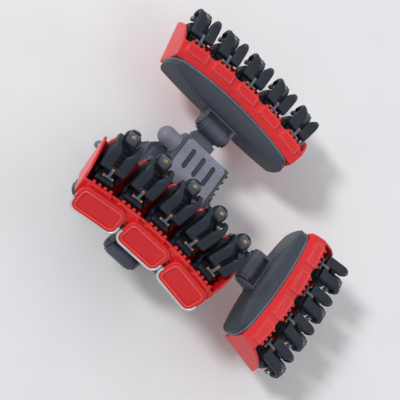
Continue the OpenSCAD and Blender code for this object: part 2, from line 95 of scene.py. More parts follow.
HULL_HALF = 0.33
TRAY_BACK = HULL_HALF
FASCIA_FRONT = HULL_HALF + 0.06
FASCIA_H = 0.3
PANEL_T = 0.028
PANEL_W = SEAT_PITCH - 0.105
PANEL_Z = (0.112, FASCIA_H + 0.036)
BACK_WALL_H = 0.76
SHELL_W = SEAT_W - 0.016
SHELL_H = 1.0
SHELL_PROUD = 0.008
WING_R = 0.84
WING_CENTRE = TRAY_BACK + 0.11
RIM_R = 0.032
BEAD_R = 0.009
POD_COUNT = 3
POD_GAP = 0.07
POD_Z = (-0.23, 0.27)
POD_CORNER = 0.15
POD_T = 0.12
POD_BORDER = 0.07
POD_STEPS = 8
POD_BEAD_R = 0.015
POD_NOSE_R = 0.024
POD_NOSE_TOP = -0.02

ACROSS = Vector((1, 0, 0))
FORWARD = Vector((0, -1, 0))
UP = Vector((0, 0, 1))


def half_length(row):
    """Half the length of a row's tray, along its deck."""
    return SEATS[row] * SEAT_PITCH / 2 + WALL


def row_frame(row):
    """The row's own frame, with its origin on the pitch axis."""
    pivot = Vector(joints[f"gondola_{row}_pitch"]["pos_m"])
    heading = Matrix.Rotation(math.radians(HEADING[row]), 4, "Z")
    recline = Matrix.Rotation(math.radians(-RECLINE[row]), 4, "X")
    return Matrix.Translation(pivot) @ heading @ recline


def deck_frame(row, along):
    """A place on the row's deck arc, at that length from its middle."""
    to_centre = Matrix.Translation((0, 0, DECK - ARC_R))
    swing = Matrix.Rotation(along / ARC_R, 4, "Y")
    return row_frame(row) @ to_centre @ swing @ Matrix.Translation((0, 0, ARC_R))


def seat_frames(row):
    """The frames of a row's seats, in the order of their restraints."""
    middle = (SEATS[row] - 1) / 2
    return [deck_frame(row, (i - middle) * SEAT_PITCH) for i in range(SEATS[row])]


# Mesh building


def loft(rings, closed=False):
    """Skin over rings of equally many points: an open one gets fan caps, a closed one joins its ends."""
    count = len(rings[0])
    points = [point for ring in rings for point in ring]
    faces = []
    for k in range(len(rings) if closed else len(rings) - 1):
        here = k * count
        there = (k + 1) % len(rings) * count
        for i in range(count):
            j = (i + 1) % count
            faces.append((here + i, here + j, there + j, there + i))
    if not closed:
        for first, ring in ((0, rings[0]), ((len(rings) - 1) * count, rings[-1])):
            middle = len(points)
            points.append(sum(ring, Vector()) / count)
            faces += [(first + i, first + (i + 1) % count, middle) for i in range(count)]
    return points, faces


def placed(part, matrix):
    """A part's points moved by a matrix."""
    points, faces = part
    return [matrix @ point for point in points], faces


def on_seats(row, part):
    """One copy of a part on each seat of a row."""
    return [placed(part, matrix) for matrix in seat_frames(row)]


def oval(width, depth, power=2.0, count=20):
    """Outline between an ellipse, at power 2, and a rectangle, at a high power."""
    points = []
    for k in range(count):
        angle = 2 * math.pi * k / count
        x = math.cos(angle)
        y = math.sin(angle)
        points.append((width / 2 * math.copysign(abs(x) ** (2 / power), x),
                       depth / 2 * math.copysign(abs(y) ** (2 / power), y)))
    return points


def sweep(path, outline_at, side, closed=False):
    """An outline of (sideways, outward) pairs carried along a path that lies square to a side direction."""
    rings = []
    last = len(path) - 1
    for k, point in enumerate(path):
        before = path[k - 1] if closed or k else point
        after = path[(k + 1) % len(path)] if closed or k < last else point
        outward = (after - before).normalized().cross(side).normalized()
        rings.append([point + side * across + outward * out for across, out in outline_at(k / last)])
    return loft(rings, closed)


def rod(path, radius, side, closed=False, count=10):
    """A plain round bar along a path."""
    outline = oval(2 * radius, 2 * radius, count=count)
    return sweep(path, lambda share: outline, side, closed)


def turned(profile, count=32):
    """A solid turned about Z from (radius, height) pairs."""
    circle = oval(2, 2, count=count)
    return loft([[Vector((radius * x, radius * y, height)) for x, y in circle] for radius, height in profile])


def turned_ring(profile, count):
    """A ring turned about Z from a closed outline of (radius, height) pairs."""
    rings = []
    for k in range(count):
        angle = 2 * math.pi * k / count
        rings.append([Vector((radius * math.cos(angle), radius * math.sin(angle), height))
                      for radius, height in profile])
    return loft(rings, closed=True)


def stacked(middle, levels):
    """A solid up through (height, outline) levels, about a middle that far to the rear."""
    return loft([[Vector((x, middle + y, z)) for x, y in outline] for z, outline in levels])


def cross_path(half, y, z, steps):
    """A straight line across a seat."""
    return [Vector((half * (2 * k / steps - 1), y, z)) for k in range(steps + 1)]


def along_x(x, y, z, turn=1):
    """A frame at a place, with its Z axis turned to X."""
    return Matrix.Translation((x, y, z)) @ Matrix.Rotation(turn * math.pi / 2, 4, "Y")


def quarter_round(share, length, least):
    """A rounded rise from an end to 1 over a length, cut off at the square root of a least value."""
    return math.sqrt(max(1 - (1 - min(share / length, 1)) ** 2, least))


def smooth_step(low, high, value):
    """A soft rise from 0 at low to 1 at high."""
    share = min(max((value - low) / (high - low), 0), 1)
    return share * share * (3 - 2 * share)


def rounded_loop(width, height, corner, steps=6):
    """A rounded rectangle as (x, z) pairs, centred."""
    points = []
    for k, (sx, sz) in enumerate(((1, 1), (-1, 1), (-1, -1), (1, -1))):
        for step in range(steps + 1):
            angle = math.radians(90 * (k + step / steps))
            points.append((sx * (width / 2 - corner) + corner * math.cos(angle),
                           sz * (height / 2 - corner) + corner * math.sin(angle)))
    return points


def dressed(obj, body):
    """Puts a finished piece in the scene, on its body."""
    if obj.name not in bpy.context.scene.collection.objects:
        bpy.context.scene.collection.objects.link(obj)
    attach(obj, body)
    return obj


def piece(name, parts, body, finish, crease=42):
    """One object at the origin made of closed parts, in a named finish."""
    points = []
    faces = []
    for part_points, part_faces in parts:
        first = len(points)
        points += part_points
        faces += [[first + i for i in face] for face in part_faces]
    mesh = bpy.data.meshes.new(name)
    mesh.from_pydata(points, [], faces)
    skin = bmesh.new()
    skin.from_mesh(mesh)
    bmesh.ops.recalc_face_normals(skin, faces=skin.faces)
    skin.to_mesh(mesh)
    skin.free()
    mesh.polygons.foreach_set("use_smooth", [True] * len(mesh.polygons))
    mesh.set_sharp_from_angle(angle=math.radians(crease))
    mesh.materials.append(FINISH[finish])
    return dressed(bpy.data.objects.new(name, mesh), body)


# Shader groups that the finishes share


def colour(code):
    """A linear colour from a hex code."""
    channels = [int(code[i:i + 2], 16) / 255 for i in (0, 2, 4)]
    return [c / 12.92 if c <= 0.04045 else ((c + 0.055) / 1.055) ** 2.4 for c in channels] + [1.0]


def feed(tree, socket, value):
    """Links a socket into an input, or sets the input's own value."""
    if isinstance(value, bpy.types.NodeSocket):
        tree.links.new(value, socket)
    else:
        socket.default_value = value


def made(tree, kind, inputs=None, **settings):
    """A new node with its settings, and its listed inputs linked or set."""
    node = tree.nodes.new(kind)
    for label, value in settings.items():
        setattr(node, label, value)
    for label, value in (inputs or {}).items():
        feed(tree, node.inputs[label], value)
    return node


def sums(tree, operation, first, second, clamp=False):
    """A math node's result."""
    node = made(tree, "ShaderNodeMath", {0: first, 1: second}, operation=operation, use_clamp=clamp)
    return node.outputs[0]


def mixed(tree, share, first, second):
    """A mix of two colours."""
    return made(tree, "ShaderNodeMix", {0: share, 6: first, 7: second}, data_type="RGBA").outputs[2]


def spread(tree, value, low, high, new_low, new_high):
    """A value carried from one range to another, clamped."""
    return made(tree, "ShaderNodeMapRange", dict(enumerate((value, low, high, new_low, new_high)))).outputs[0]


def noise(tree, scale, detail):
    """Noise on Object coordinates."""
    place = made(tree, "ShaderNodeTexCoord").outputs["Object"]
    return made(tree, "ShaderNodeTexNoise", {"Vector": place, "Scale": scale, "Detail": detail}).outputs[0]


def shader_group(name, inputs, outputs):
    """An empty shader group with number inputs, and its two end nodes."""
    group = bpy.data.node_groups.new(name, "ShaderNodeTree")
    for label, value in inputs.items():
        socket = group.interface.new_socket(label, in_out="INPUT", socket_type="NodeSocketFloat")
        socket.default_value = value
    for label, kind in outputs.items():
        group.interface.new_socket(label, in_out="OUTPUT", socket_type=kind)
    return group, group.nodes.new("NodeGroupInput"), group.nodes.new("NodeGroupOutput")


def soft_edges_group():
    """Rounded shading at sharp edges, and a patchy mask of those edges, for wear and for painted highlights."""
    group, start, end = shader_group("soft_edges", {"Radius": 0.006, "Wear and Highlight": 1.0},
                                     {"Normal": "NodeSocketVector", "Edge": "NodeSocketFloat"})
    rounded = made(group, "ShaderNodeBevel", {"Radius": start.outputs["Radius"]}, samples=4).outputs["Normal"]
    flat = made(group, "ShaderNodeNewGeometry").outputs["Normal"]
    agree = made(group, "ShaderNodeVectorMath", {0: rounded, 1: flat}, operation="DOT_PRODUCT")
    bend = sums(group, "SUBTRACT", 1.0, agree.outputs["Value"])
    patches = spread(group, noise(group, 9.0, 5.0), 0.35, 0.65, 0.25, 1.0)
    # Mask of paler edges: wear, and in some finishes a painted highlight.
    wear_and_highlight = sums(group, "MULTIPLY", sums(group, "MULTIPLY", bend, start.outputs["Wear and Highlight"]), patches, clamp=True)
    feed(group, end.inputs["Normal"], rounded)
    feed(group, end.inputs["Edge"], wear_and_highlight)
    return group


def weathering_group():
    """Broad cloudy stains with a fine speckle."""
    group, start, end = shader_group("weathering", {"Scale": 2.0, "Amount": 0.5},
                                     {"Stain": "NodeSocketFloat"})
    cloud = spread(group, noise(group, start.outputs["Scale"], 6.0), 0.38, 0.7, 0.0, 1.0)
    speckle = spread(group, noise(group, 60.0, 2.0), 0.45, 0.75, 0.0, 0.35)
    both = sums(group, "ADD", cloud, speckle)
    feed(group, end.inputs["Stain"], sums(group, "MULTIPLY", both, start.outputs["Amount"], clamp=True))
    return group


def grain_group():
    """Fine relief: pebbles of a moulded skin over a slow waviness."""
    group, start, end = shader_group("grain", {"Scale": 300.0, "Pebble": 0.5}, {"Height": "NodeSocketFloat"})
    place = made(group, "ShaderNodeTexCoord").outputs["Object"]
    cells = made(group, "ShaderNodeTexVoronoi", {"Vector": place, "Scale": start.outputs["Scale"]})
    pebble = sums(group, "MULTIPLY", cells.outputs["Distance"], start.outputs["Pebble"])
    wave = noise(group, sums(group, "MULTIPLY", start.outputs["Scale"], 0.12), 2.0)
    feed(group, end.inputs["Height"], sums(group, "ADD", pebble, wave))
    return group


SOFT_EDGES = soft_edges_group()
WEATHERING = weathering_group()
GRAIN = grain_group()


def use_group(tree, group, *values):
    """A group placed in a material, with values for its inputs in their order."""
    return made(tree, "ShaderNodeGroup", dict(enumerate(values)), node_tree=group)


def layered(name, base, shade, wear_and_highlight, gloss, edge, stain, grain, relief, own=None):
    """A finish with stained colour, edges painted paler (wear on some finishes, a painted highlight on others),
    uneven gloss and fine relief, and its own shader values.
    """
    material = bpy.data.materials.new(name)
    material.use_nodes = True
    tree = material.node_tree
    edges = use_group(tree, SOFT_EDGES, *edge)
    stains = use_group(tree, WEATHERING, *stain).outputs["Stain"]
    height = use_group(tree, GRAIN, *grain).outputs["Height"]
    stained = mixed(tree, stains, colour(base), colour(shade))
    bump = made(tree, "ShaderNodeBump", {"Strength": relief[0], "Distance": relief[1], "Height": height,
                                         "Normal": edges.outputs["Normal"]})
    # The edge mask lays the paler colour on edges: a painted highlight on the red mouldings and the seat foam,
    # wear on the rest.
    inputs = {"Base Color": mixed(tree, edges.outputs["Edge"], stained, colour(wear_and_highlight)),
              "Roughness": spread(tree, stains, 0.0, 1.0, *gloss),
              "Normal": bump.outputs["Normal"]}
    inputs.update(own or {})
    for label, value in inputs.items():
        feed(tree, tree.nodes["Principled BSDF"].inputs[label], value)
    return material


# Finishes


def red_gelcoat():
    """Gloss red moulding, its edges painted paler: partly sun bleaching, partly a painted highlight."""
    return layered("red_gelcoat", "de2026", "bd171e", "ff8176", gloss=(0.26, 0.42), edge=(0.02, 3.2),
                   stain=(1.6, 0.45), grain=(70, 0.2), relief=(0.04, 0.001),
                   own={"Coat Weight": 0.15, "Coat Roughness": 0.08, "Specular IOR Level": 0.3})


def red_bead_painted_highlight():
    """The red moulding where it is raised, painted paler as a highlight on the beads, and glossier."""
    return layered("red_bead_painted_highlight", "ee463f", "d22c2c", "ff9a8e", gloss=(0.2, 0.34), edge=(0.006, 1.6),
                   stain=(2.4, 0.4), grain=(70, 0.2), relief=(0.04, 0.001),
                   own={"Coat Weight": 0.3, "Coat Roughness": 0.06})


def slate_paint():
    """Satin slate paint over welded plate."""
    return layered("slate_paint", "474c5b", "333845", "8b90a1", gloss=(0.42, 0.62), edge=(0.012, 2.0),
                   stain=(2.2, 0.75), grain=(180, 0.4), relief=(0.16, 0.002))


def light_paint():
    """Satin lilac-grey paint."""
    return layered("light_paint", "858796", "6a6c7b", "b6b8c4", gloss=(0.38, 0.58), edge=(0.010, 1.8),
                   stain=(2.6, 0.7), grain=(180, 0.4), relief=(0.14, 0.002))


def frame_paint():
    """Dark semi-gloss paint on the chassis."""
    return layered("frame_paint", "2c313b", "22262e", "6d7480", gloss=(0.34, 0.6), edge=(0.008, 2.2),
                   stain=(3.0, 0.8), grain=(220, 0.4), relief=(0.16, 0.002))


def hull_gelcoat():
    """Satin slate moulding of the hulls."""
    return layered("hull_gelcoat", "3c424e", "313741", "6b7483", gloss=(0.34, 0.5), edge=(0.010, 1.6),
                   stain=(1.3, 0.6), grain=(90, 0.2), relief=(0.08, 0.002),
                   own={"Coat Weight": 0.1, "Coat Roughness": 0.2, "Specular IOR Level": 0.25})


def trim_strip():
    """Pale blue-grey rubber of the hull's trim line."""
    return layered("trim_strip", "6e7986", "5a6470", "98a2ae", gloss=(0.5, 0.7), edge=(0.003, 1.0),
                   stain=(4.0, 0.6), grain=(400, 0.5), relief=(0.15, 0.001))


def bare_steel():
    """Machined steel, dulled by oil."""
    return layered("bare_steel", "85898f", "5c6067", "b8bcc2", gloss=(0.3, 0.52), edge=(0.006, 1.6),
                   stain=(5.0, 0.8), grain=(500, 0.2), relief=(0.10, 0.001), own={"Metallic": 0.85})


def pale_rim():
    """Pale silver paint of the pods' bumper strips."""
    return layered("pale_rim", "cfd3d6", "aeb3b8", "e6e8ea", gloss=(0.28, 0.46), edge=(0.006, 1.2),
                   stain=(4.0, 0.6), grain=(200, 0.3), relief=(0.10, 0.001), own={"Metallic": 0.35})


def seat_foam():
    """Self-skinned black foam of the seats, its edges painted paler as a highlight."""
    return layered("seat_foam", "1b222d", "141a22", "4d5663", gloss=(0.48, 0.66), edge=(0.012, 1.4),
                   stain=(4.0, 0.6), grain=(420, 0.8), relief=(0.30, 0.0012), own={"Specular IOR Level": 0.3})


def restraint_foam():
    """Moulded foam of the restraints, a little paler than the seats."""
    return layered("restraint_foam", "1e2632", "161c25", "565f6d", gloss=(0.42, 0.6), edge=(0.010, 1.6),
                   stain=(5.0, 0.6), grain=(420, 0.8), relief=(0.28, 0.0012), own={"Specular IOR Level": 0.3})


def head_foam():
    """Greyer foam of the head pads: the grey is partly the pads' own and partly a painted highlight on the heads.
    """
    return layered("head_foam", "565d69", "454c57", "8d95a1", gloss=(0.4, 0.58), edge=(0.010, 1.4),
                   stain=(6.0, 0.6), grain=(420, 0.8), relief=(0.28, 0.0012))


def tan_insert():
    """Tan leather-like insert in the head pads."""
    return layered("tan_insert", "c79c6a", "a67c50", "dcbc94", gloss=(0.45, 0.6), edge=(0.004, 1.2),
                   stain=(9.0, 0.6), grain=(600, 0.9), relief=(0.35, 0.001))


def handle_grey():
    """Grey moulded handle of a restraint."""
    return layered("handle_grey", "59616d", "474e59", "8b939e", gloss=(0.34, 0.5), edge=(0.006, 1.5),
                   stain=(7.0, 0.6), grain=(400, 0.5), relief=(0.15, 0.001))


def orange_grip():
    """Orange plastic caps on the handles."""
    return layered("orange_grip", "d9762f", "b45d22", "eda368", gloss=(0.3, 0.48), edge=(0.004, 1.2),
                   stain=(9.0, 0.5), grain=(500, 0.5), relief=(0.2, 0.001))


def wheel_tread():
    """Dark polyurethane with a dusty running face."""
    return layered("wheel_tread", "2b2c2f", "47464a", "5a5a5e", gloss=(0.5, 0.78), edge=(0.004, 1.2),
                   stain=(9.0, 0.8), grain=(300, 0.7), relief=(0.25, 0.001))


def painted_slot_shade():
    """Dull black sheet under the vent slots: painted shade inside the slots."""
    return layered("painted_slot_shade", "14171c", "0e1014", "262a31", gloss=(0.6, 0.8), edge=(0.003, 1.0),
                   stain=(6.0, 0.6), grain=(300, 0.5), relief=(0.2, 0.001))


FINISH = {make.__name__: make() for make in (
    red_gelcoat, red_bead_painted_highlight, slate_paint, light_paint, frame_paint, hull_gelcoat, trim_strip, bare_steel,
    pale_rim, seat_foam, restraint_foam, head_foam, tan_insert, handle_grey, orange_grip, wheel_tread,
    painted_slot_shade)}


def paint_frame():
    """Gives every node of the frame the finish of its record slot."""
    for sub_part in frame["record"]["subparts"]:
        materials = nodes[sub_part["node"]].data.materials
        materials.clear()
        materials.append(FINISH[sub_part["material_slot"]])


# Repeated small pieces


def repeat_tree(name, sizes):
    """An empty tree with number inputs for its sizes and one for its finish."""
    tree = bpy.data.node_groups.new(name, "GeometryNodeTree")
    tree.interface.new_socket("Geometry", in_out="INPUT", socket_type="NodeSocketGeometry")
    for label, value in sizes.items():
        tree.interface.new_socket(label, in_out="INPUT", socket_type="NodeSocketFloat").default_value = value
    tree.interface.new_socket("Finish", in_out="INPUT", socket_type="NodeSocketMaterial")
    tree.interface.new_socket("Geometry", in_out="OUTPUT", socket_type="NodeSocketGeometry")
    return tree, tree.nodes.new("NodeGroupInput")


def lifted(tree, geometry, height):
    """Geometry moved up by a height."""
    lift = made(tree, "ShaderNodeCombineXYZ", {"Z": height}).outputs[0]
    return made(tree, "GeometryNodeTransform", {"Geometry": geometry, "Translation": lift}).outputs[0]


def disc(tree, corners, radius, depth):
    """A cylinder that stands on the ground."""
    node = made(tree, "GeometryNodeMeshCylinder", {"Vertices": corners, "Radius": radius, "Depth": depth})
    return lifted(tree, node.outputs["Mesh"], sums(tree, "MULTIPLY", depth, 0.5))


def set_on_places(tree, start, shapes):
    """Joins the shapes, sets them on the places with Z along each facing, and gives them the finish."""
    joined = made(tree, "GeometryNodeJoinGeometry")
    for shape in shapes:
        tree.links.new(shape, joined.inputs[0])
    facing = made(tree, "GeometryNodeInputNamedAttribute", {"Name": "facing"}, data_type="FLOAT_VECTOR")
    turn = made(tree, "FunctionNodeAlignRotationToVector", {"Vector": facing.outputs[0]}, axis="Z")
    copies = made(tree, "GeometryNodeInstanceOnPoints", {
        "Points": start.outputs["Geometry"], "Instance": joined.outputs[0], "Rotation": turn.outputs[0]})
    real = made(tree, "GeometryNodeRealizeInstances", {0: copies.outputs[0]})
    finish = made(tree, "GeometryNodeSetMaterial", {
        "Geometry": real.outputs[0], "Material": start.outputs["Finish"]})
    made(tree, "NodeGroupOutput", {0: finish.outputs[0]})
    return tree


def bolt_tree():
    """Hexagon heads on washers, each with a round stud end."""
    tree, start = repeat_tree("hex_bolts", {"Head": 0.014, "Height": 0.012})
    head = start.outputs["Head"]
    height = start.outputs["Height"]
    washer = disc(tree, 16, sums(tree, "MULTIPLY", head, 1.45), sums(tree, "MULTIPLY", height, 0.3))
    hexagon = disc(tree, 6, head, height)
    stud = disc(tree, 10, sums(tree, "MULTIPLY", head, 0.5), sums(tree, "MULTIPLY", height, 1.35))
    return set_on_places(tree, start, (washer, hexagon, stud))


def rivet_tree():
    """Low round heads, half sunk."""
    tree, start = repeat_tree("rivets", {"Radius": 0.008})
    dome = made(tree, "GeometryNodeMeshUVSphere", {
        "Segments": 10, "Rings": 6, "Radius": start.outputs["Radius"]})
    flat = made(tree, "GeometryNodeTransform", {"Geometry": dome.outputs["Mesh"], "Scale": (1, 1, 0.6)})
    return set_on_places(tree, start, (flat.outputs[0],))


def slat_tree():
    """Thin blades that lie square to their facing."""
    sizes = {"Length": 0.09, "Depth": 0.03, "Thickness": 0.005}
    tree, start = repeat_tree("vent_slats", sizes)
    size = made(tree, "ShaderNodeCombineXYZ", dict(enumerate(start.outputs[label] for label in sizes)))
    blade = made(tree, "GeometryNodeMeshCube", {"Size": size.outputs[0]})
    return set_on_places(tree, start, (blade.outputs["Mesh"],))


BOLTS = bolt_tree()
RIVETS = rivet_tree()
SLATS = slat_tree()


def repeated(name, places, tree, body, finish, **sizes):
    """A tree's shape on each (point, facing) place, made one plain mesh in a finish of the record."""
    mesh = bpy.data.meshes.new(name)
    mesh.from_pydata([point for point, facing in places], [], [])
    facings = mesh.attributes.new("facing", "FLOAT_VECTOR", "POINT")
    facings.data.foreach_set("vector", [part for point, facing in places for part in facing])
    obj = bpy.data.objects.new(name, mesh)
    bpy.context.scene.collection.objects.link(obj)
    maker = obj.modifiers.new(name, "NODES")
    maker.node_group = tree
    for item in tree.interface.items_tree:
        if item.in_out == "INPUT" and item.name == "Finish":
            maker[item.identifier] = FINISH[finish]
        elif item.in_out == "INPUT" and item.name.lower() in sizes:
            maker[item.identifier] = sizes[item.name.lower()]
    graph = bpy.context.evaluated_depsgraph_get()
    plain = bpy.data.meshes.new_from_object(obj.evaluated_get(graph))
    obj.modifiers.clear()
    obj.data = plain
    return dressed(obj, body)


# Seats


def seat_half_width(z):
    """Half the width of the seat shell at a height: body, round shoulders and head."""
    head_top = SEAT_H - HEAD_W / 2
    head = HEAD_W / 2
    if z > head_top:
        head = math.sqrt(max((HEAD_W / 2) ** 2 - (z - head_top) ** 2, 0.0001))
    shoulder_foot = SHOULDER_H - SHOULDER_CORNER
    if z <= shoulder_foot:
        return SEAT_W / 2 - 0.03 * (1 - smooth_step(0.22, 0.4, z))
    drop = SHOULDER_CORNER ** 2 - (z - shoulder_foot) ** 2
    if drop <= 0:
        return head
    return max(head, SEAT_W / 2 - SHOULDER_CORNER + math.sqrt(drop))


def seat_ring(z):
    """One level outline of the bucket shell, with bolsters at the sides of its face."""
    face_recess = 0.026
    head_wing = 0.02
    half = seat_half_width(z)
    bolster = head_wing + (BOLSTER_L - head_wing) * (1 - smooth_step(0.72, 0.93, z))
    crown = min(1.0, 0.35 + 0.65 * math.sqrt(max((SEAT_H - z) / (HEAD_W / 2), 0)))
    ring = []
    for x, y in oval(2, 2, 5.0, 56):
        across = half * x
        if y > 0:
            out = (SEAT_REAR - SEAT_MID) * y * crown
        else:
            edge = smooth_step(0.58, 0.86, abs(x))
            out = (SEAT_MID - SEAT_FACE - face_recess + (bolster + face_recess) * edge) * y * crown
        ring.append(Vector((across, SEAT_MID + out, z)))
    return ring


def seat_shell():
    """Tall moulded bucket with bolsters, shoulders and a round head."""
    low = PAN_H - PAN_T - 0.02
    steps = 46
    heights = [low + (SEAT_H - 0.004 - low) * math.sin(math.pi / 2 * k / steps) for k in range(steps + 1)]
    return loft([seat_ring(z) for z in heights])


def seat_base():
    """Pedestal under the cushion, waisted in the middle."""
    width = SEAT_W - 0.09
    depth = 0.33
    floor = 0.06
    top = PAN_H - PAN_T / 2
    steps = 8
    levels = []
    for k in range(steps + 1):
        waist = 1 - 0.10 * math.sin(math.pi * k / steps)
        levels.append((floor + (top - floor) * k / steps, oval(width * waist, depth * waist, 6.0, 32)))
    return stacked(SEAT_REAR - depth / 2, levels)


def moulded_pad(width, length, depth, channels):
    """Crowned foam pad: X across, Z along from 0, face to -Y, with cross channels moulded in."""
    steps = 12 * (channels + 1)
    rings = []
    for k in range(steps + 1):
        share = k / steps
        end = (1 - abs(2 * share - 1) ** 5) ** 0.4
        groove = abs(math.cos(math.pi * share * (channels + 1))) ** 10 if channels else 0
        swell = end * (1 - 0.45 * groove * smooth_step(0.03, 0.1, min(share, 1 - share)))
        ring = []
        for x, y in oval(width, 2, 3.4, 28):
            out = y * depth * max(swell, 0.04) if y < 0 else y * depth * 0.3 * max(end, 0.04)
            ring.append(Vector((x * (0.8 + 0.2 * end), out, length * share)))
        rings.append(ring)
    return loft(rings)


def back_pad():
    """Channelled pad between the bolsters."""
    pad = moulded_pad(SEAT_W * 0.56, 0.5, 0.03, 4)
    return placed(pad, Matrix.Translation((0, SEAT_FACE + 0.028, PAN_H + 0.005)))


def head_pad():
    """Pad on the face of the head."""
    pad = moulded_pad(HEAD_W * 0.8, 0.235, 0.034, 0)
    return placed(pad, Matrix.Translation((0, SEAT_FACE + 0.022, SEAT_H - 0.255)))


def head_insert():
    """Domed oval insert near the top of the head pad."""
    rings = []
    for size, out in ((1.0, 0.0), (1.0, 0.008), (0.94, 0.013), (0.75, 0.017), (0.4, 0.019)):
        rings.append([Vector((x * size, SEAT_FACE + 0.004 - out, SEAT_H - 0.088 + z * size))
                      for x, z in oval(0.105, 0.07, 2.0, 24)])
    return loft(rings)


def seat_cushion():
    """Crowned cushion with a round front roll and two moulded lengthwise channels."""
    width = SEAT_W - 0.13
    length = PAN_FRONT + SEAT_FACE - 0.004
    middle = PAN_H - PAN_T / 2
    steps = 26
    rings = []
    for k in range(steps + 1):
        share = k / steps
        nose = quarter_round(share, 0.2, 0.0016)
        full = nose * quarter_round(1 - share, 0.08, 0.0016)
        ring = []
        for x, z in oval(width * (0.93 + 0.07 * nose), PAN_T * full, 3.6, 40):
            if z > 0:
                lean = abs(x) / (width / 2)
                channel = 0.012 * math.exp(-((lean - 0.5) / 0.07) ** 2)
                crown = 0.014 * (1 - lean ** 2)
                z = z * 0.9 + (crown - channel) * full
            ring.append(Vector((x, -PAN_FRONT + length * share, middle + z)))
        rings.append(ring)
    return loft(rings)


def thigh_sides():
    """Firm side rolls that carry the bolsters forward beside the cushion."""
    reach = 0.29
    parts = []
    for side in (-1, 1):
        path = [Vector((side * (SEAT_W / 2 - 0.036), SEAT_FACE + 0.04 - reach * k / 14, PAN_H - 0.035))
                for k in range(15)]

        def outline(share):
            nose = math.sqrt(max(1 - share ** 6, 0.0025))
            return oval(0.062 * nose, 0.15 * nose * (1 - 0.25 * share), 2.8, 20)

        parts.append(sweep(path, outline, ACROSS))
    return parts


def hinge_pin():
    """Shoulder shaft that the restraint turns on, with stepped ends."""
    half = TUBE_SPREAD / 2 + 0.043
    steps = ((0.012, half), (0.017, half - 0.003), (0.02, half - 0.008))
    profile = [(radius, -height) for radius, height in steps] + list(reversed(steps))
    return placed(turned(profile, 20), along_x(0, HINGE_Y, HINGE_Z))


def dress_seats(row):
    """Shells, pads and cushions of one row."""
    body = f"gondola_{row}"
    shells = on_seats(row, seat_shell())
    for part in thigh_sides():
        shells += on_seats(row, part)
    shell = piece(f"seat_shells_{row}", shells, body, "seat_foam", crease=70)
    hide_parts(f"seats_{row}")
    piece(f"seat_bases_{row}", on_seats(row, seat_base()), body, "frame_paint")
    piece(f"hinge_pins_{row}", on_seats(row, hinge_pin()), body, "bare_steel")
    for name, part, finish, fill in (("back_pads", back_pad(), "seat_foam", 0.7),
                                     ("head_pads", head_pad(), "head_foam", 0.8),
                                     ("head_inserts", head_insert(), "tan_insert", 0.8),
                                     ("seat_cushions", seat_cushion(), "seat_foam", 0.8)):
        pad = piece(f"{name}_{row}", on_seats(row, part), body, finish, crease=70)


# Restraints


def shoulder_path(side, first=0.0, last=1.0):
    """The line of one shoulder tube, from its hinge over the shoulder and down the chest."""
    bend_l = SHOULDER_R * math.radians(BEND_BACK)
    chest_l = BEND_Z - LAP_Z + 0.03
    length = bend_l + chest_l
    steps = 64
    points = []
    for k in range(steps + 1):
        at = length * (first + (last - first) * k / steps)
        if at < bend_l:
            angle = math.radians(BEND_BACK) - at / SHOULDER_R
            point = (BEND_Y - SHOULDER_R * math.cos(angle), BEND_Z + SHOULDER_R * math.sin(angle))
        else:
            point = (CHEST_Y, BEND_Z - (at - bend_l))
        points.append(Vector((side * TUBE_SPREAD / 2, *point)))
    return points


def shoulder_sleeve(side):
    """Foam of one side: a ribbed sleeve behind the shoulder that broadens into a full chest pad."""
    ribs = 17
    inner = (0.154, 0.046)
    outer = (0.246, 0.25)
    depth = (0.092, 0.108)

    def outline(share):
        broad = smooth_step(0.34, 0.6, share)
        start = quarter_round(share, 0.05, 0.09)
        end = quarter_round(1 - share, 0.1, 0.02)
        groove = 0.08 * abs(math.cos(math.pi * ribs * share)) ** 4 * (1 - smooth_step(0.3, 0.42, share))
        fold = 0.07 * sum(math.exp(-((share - at) / 0.008) ** 2) for at in (0.56, 0.74))
        near = inner[0] + (inner[1] - inner[0]) * broad
        far = outer[0] + (outer[1] - outer[0]) * broad
        thick = depth[0] + (depth[1] - depth[0]) * broad
        shift = side * ((near + far) / 2 - TUBE_SPREAD / 2)
        size = start * (0.35 + 0.65 * end) * (1 - groove - fold)
        return [(shift + across, out * min(end * 1.2, 1))
                for across, out in oval((far - near) * size, thick * size, 2.4 + 0.8 * broad, 24)]

    return sweep(shoulder_path(side, first=0.06), outline, ACROSS)


def lap_pad():
    """Cross pad that joins the two sleeves, crowned in the middle with two channels."""
    path = cross_path((TUBE_SPREAD + 0.098) / 2, CHEST_Y, LAP_Z, 36)

    def outline(share):
        place = abs(2 * share - 1)
        close = math.sqrt(max(1 - max(place - 0.86, 0) ** 2 / 0.0196, 0.05))
        groove = 0.07 * math.exp(-((place - 0.36) / 0.035) ** 2)
        size = LAP_D * (1.04 - 0.06 * place - groove) * close
        return oval(size, size, 2.5, 22)

    return sweep(path, outline, UP)


def restraint_arm(side):
    """Steel root of one tube, from its hinge eye into the sleeve."""
    return rod(shoulder_path(side, last=0.14), 0.03, ACROSS, count=16)


def hinge_eye(side):
    """Turned eye that runs on the shoulder shaft."""
    inner = 0.0202
    outer = 0.047
    half = 0.034
    chamfer = 0.006
    profile = ((inner, -half), (outer - chamfer, -half), (outer, -half + chamfer),
               (outer, half - chamfer), (outer - chamfer, half), (inner, half))
    return placed(turned_ring(profile, 32), along_x(side * TUBE_SPREAD / 2, HINGE_Y, HINGE_Z))


def handle_stem():
    """Moulded stem between the lap pad and the handle."""
    steps = 10
    levels = []
    for k in range(steps + 1):
        waist = 1 - 0.22 * math.sin(math.pi * k / steps)
        levels.append((HANDLE_Z + (LAP_Z - HANDLE_Z) * k / steps, oval(0.064 * waist, STEM_D, 4.0, 24)))
    return stacked(STEM_Y, levels)


def handle_bar():
    """Cross bar with finger grooves."""
    path = cross_path(HANDLE_L / 2 - 0.024, STEM_Y, HANDLE_Z, 40)

    def outline(share):
        size = 0.046 - 0.005 * math.cos(2 * math.pi * 6 * share) * smooth_step(0.1, 0.2, abs(share - 0.5))
        return oval(size, size, 2.0, 18)

    return sweep(path, outline, UP)


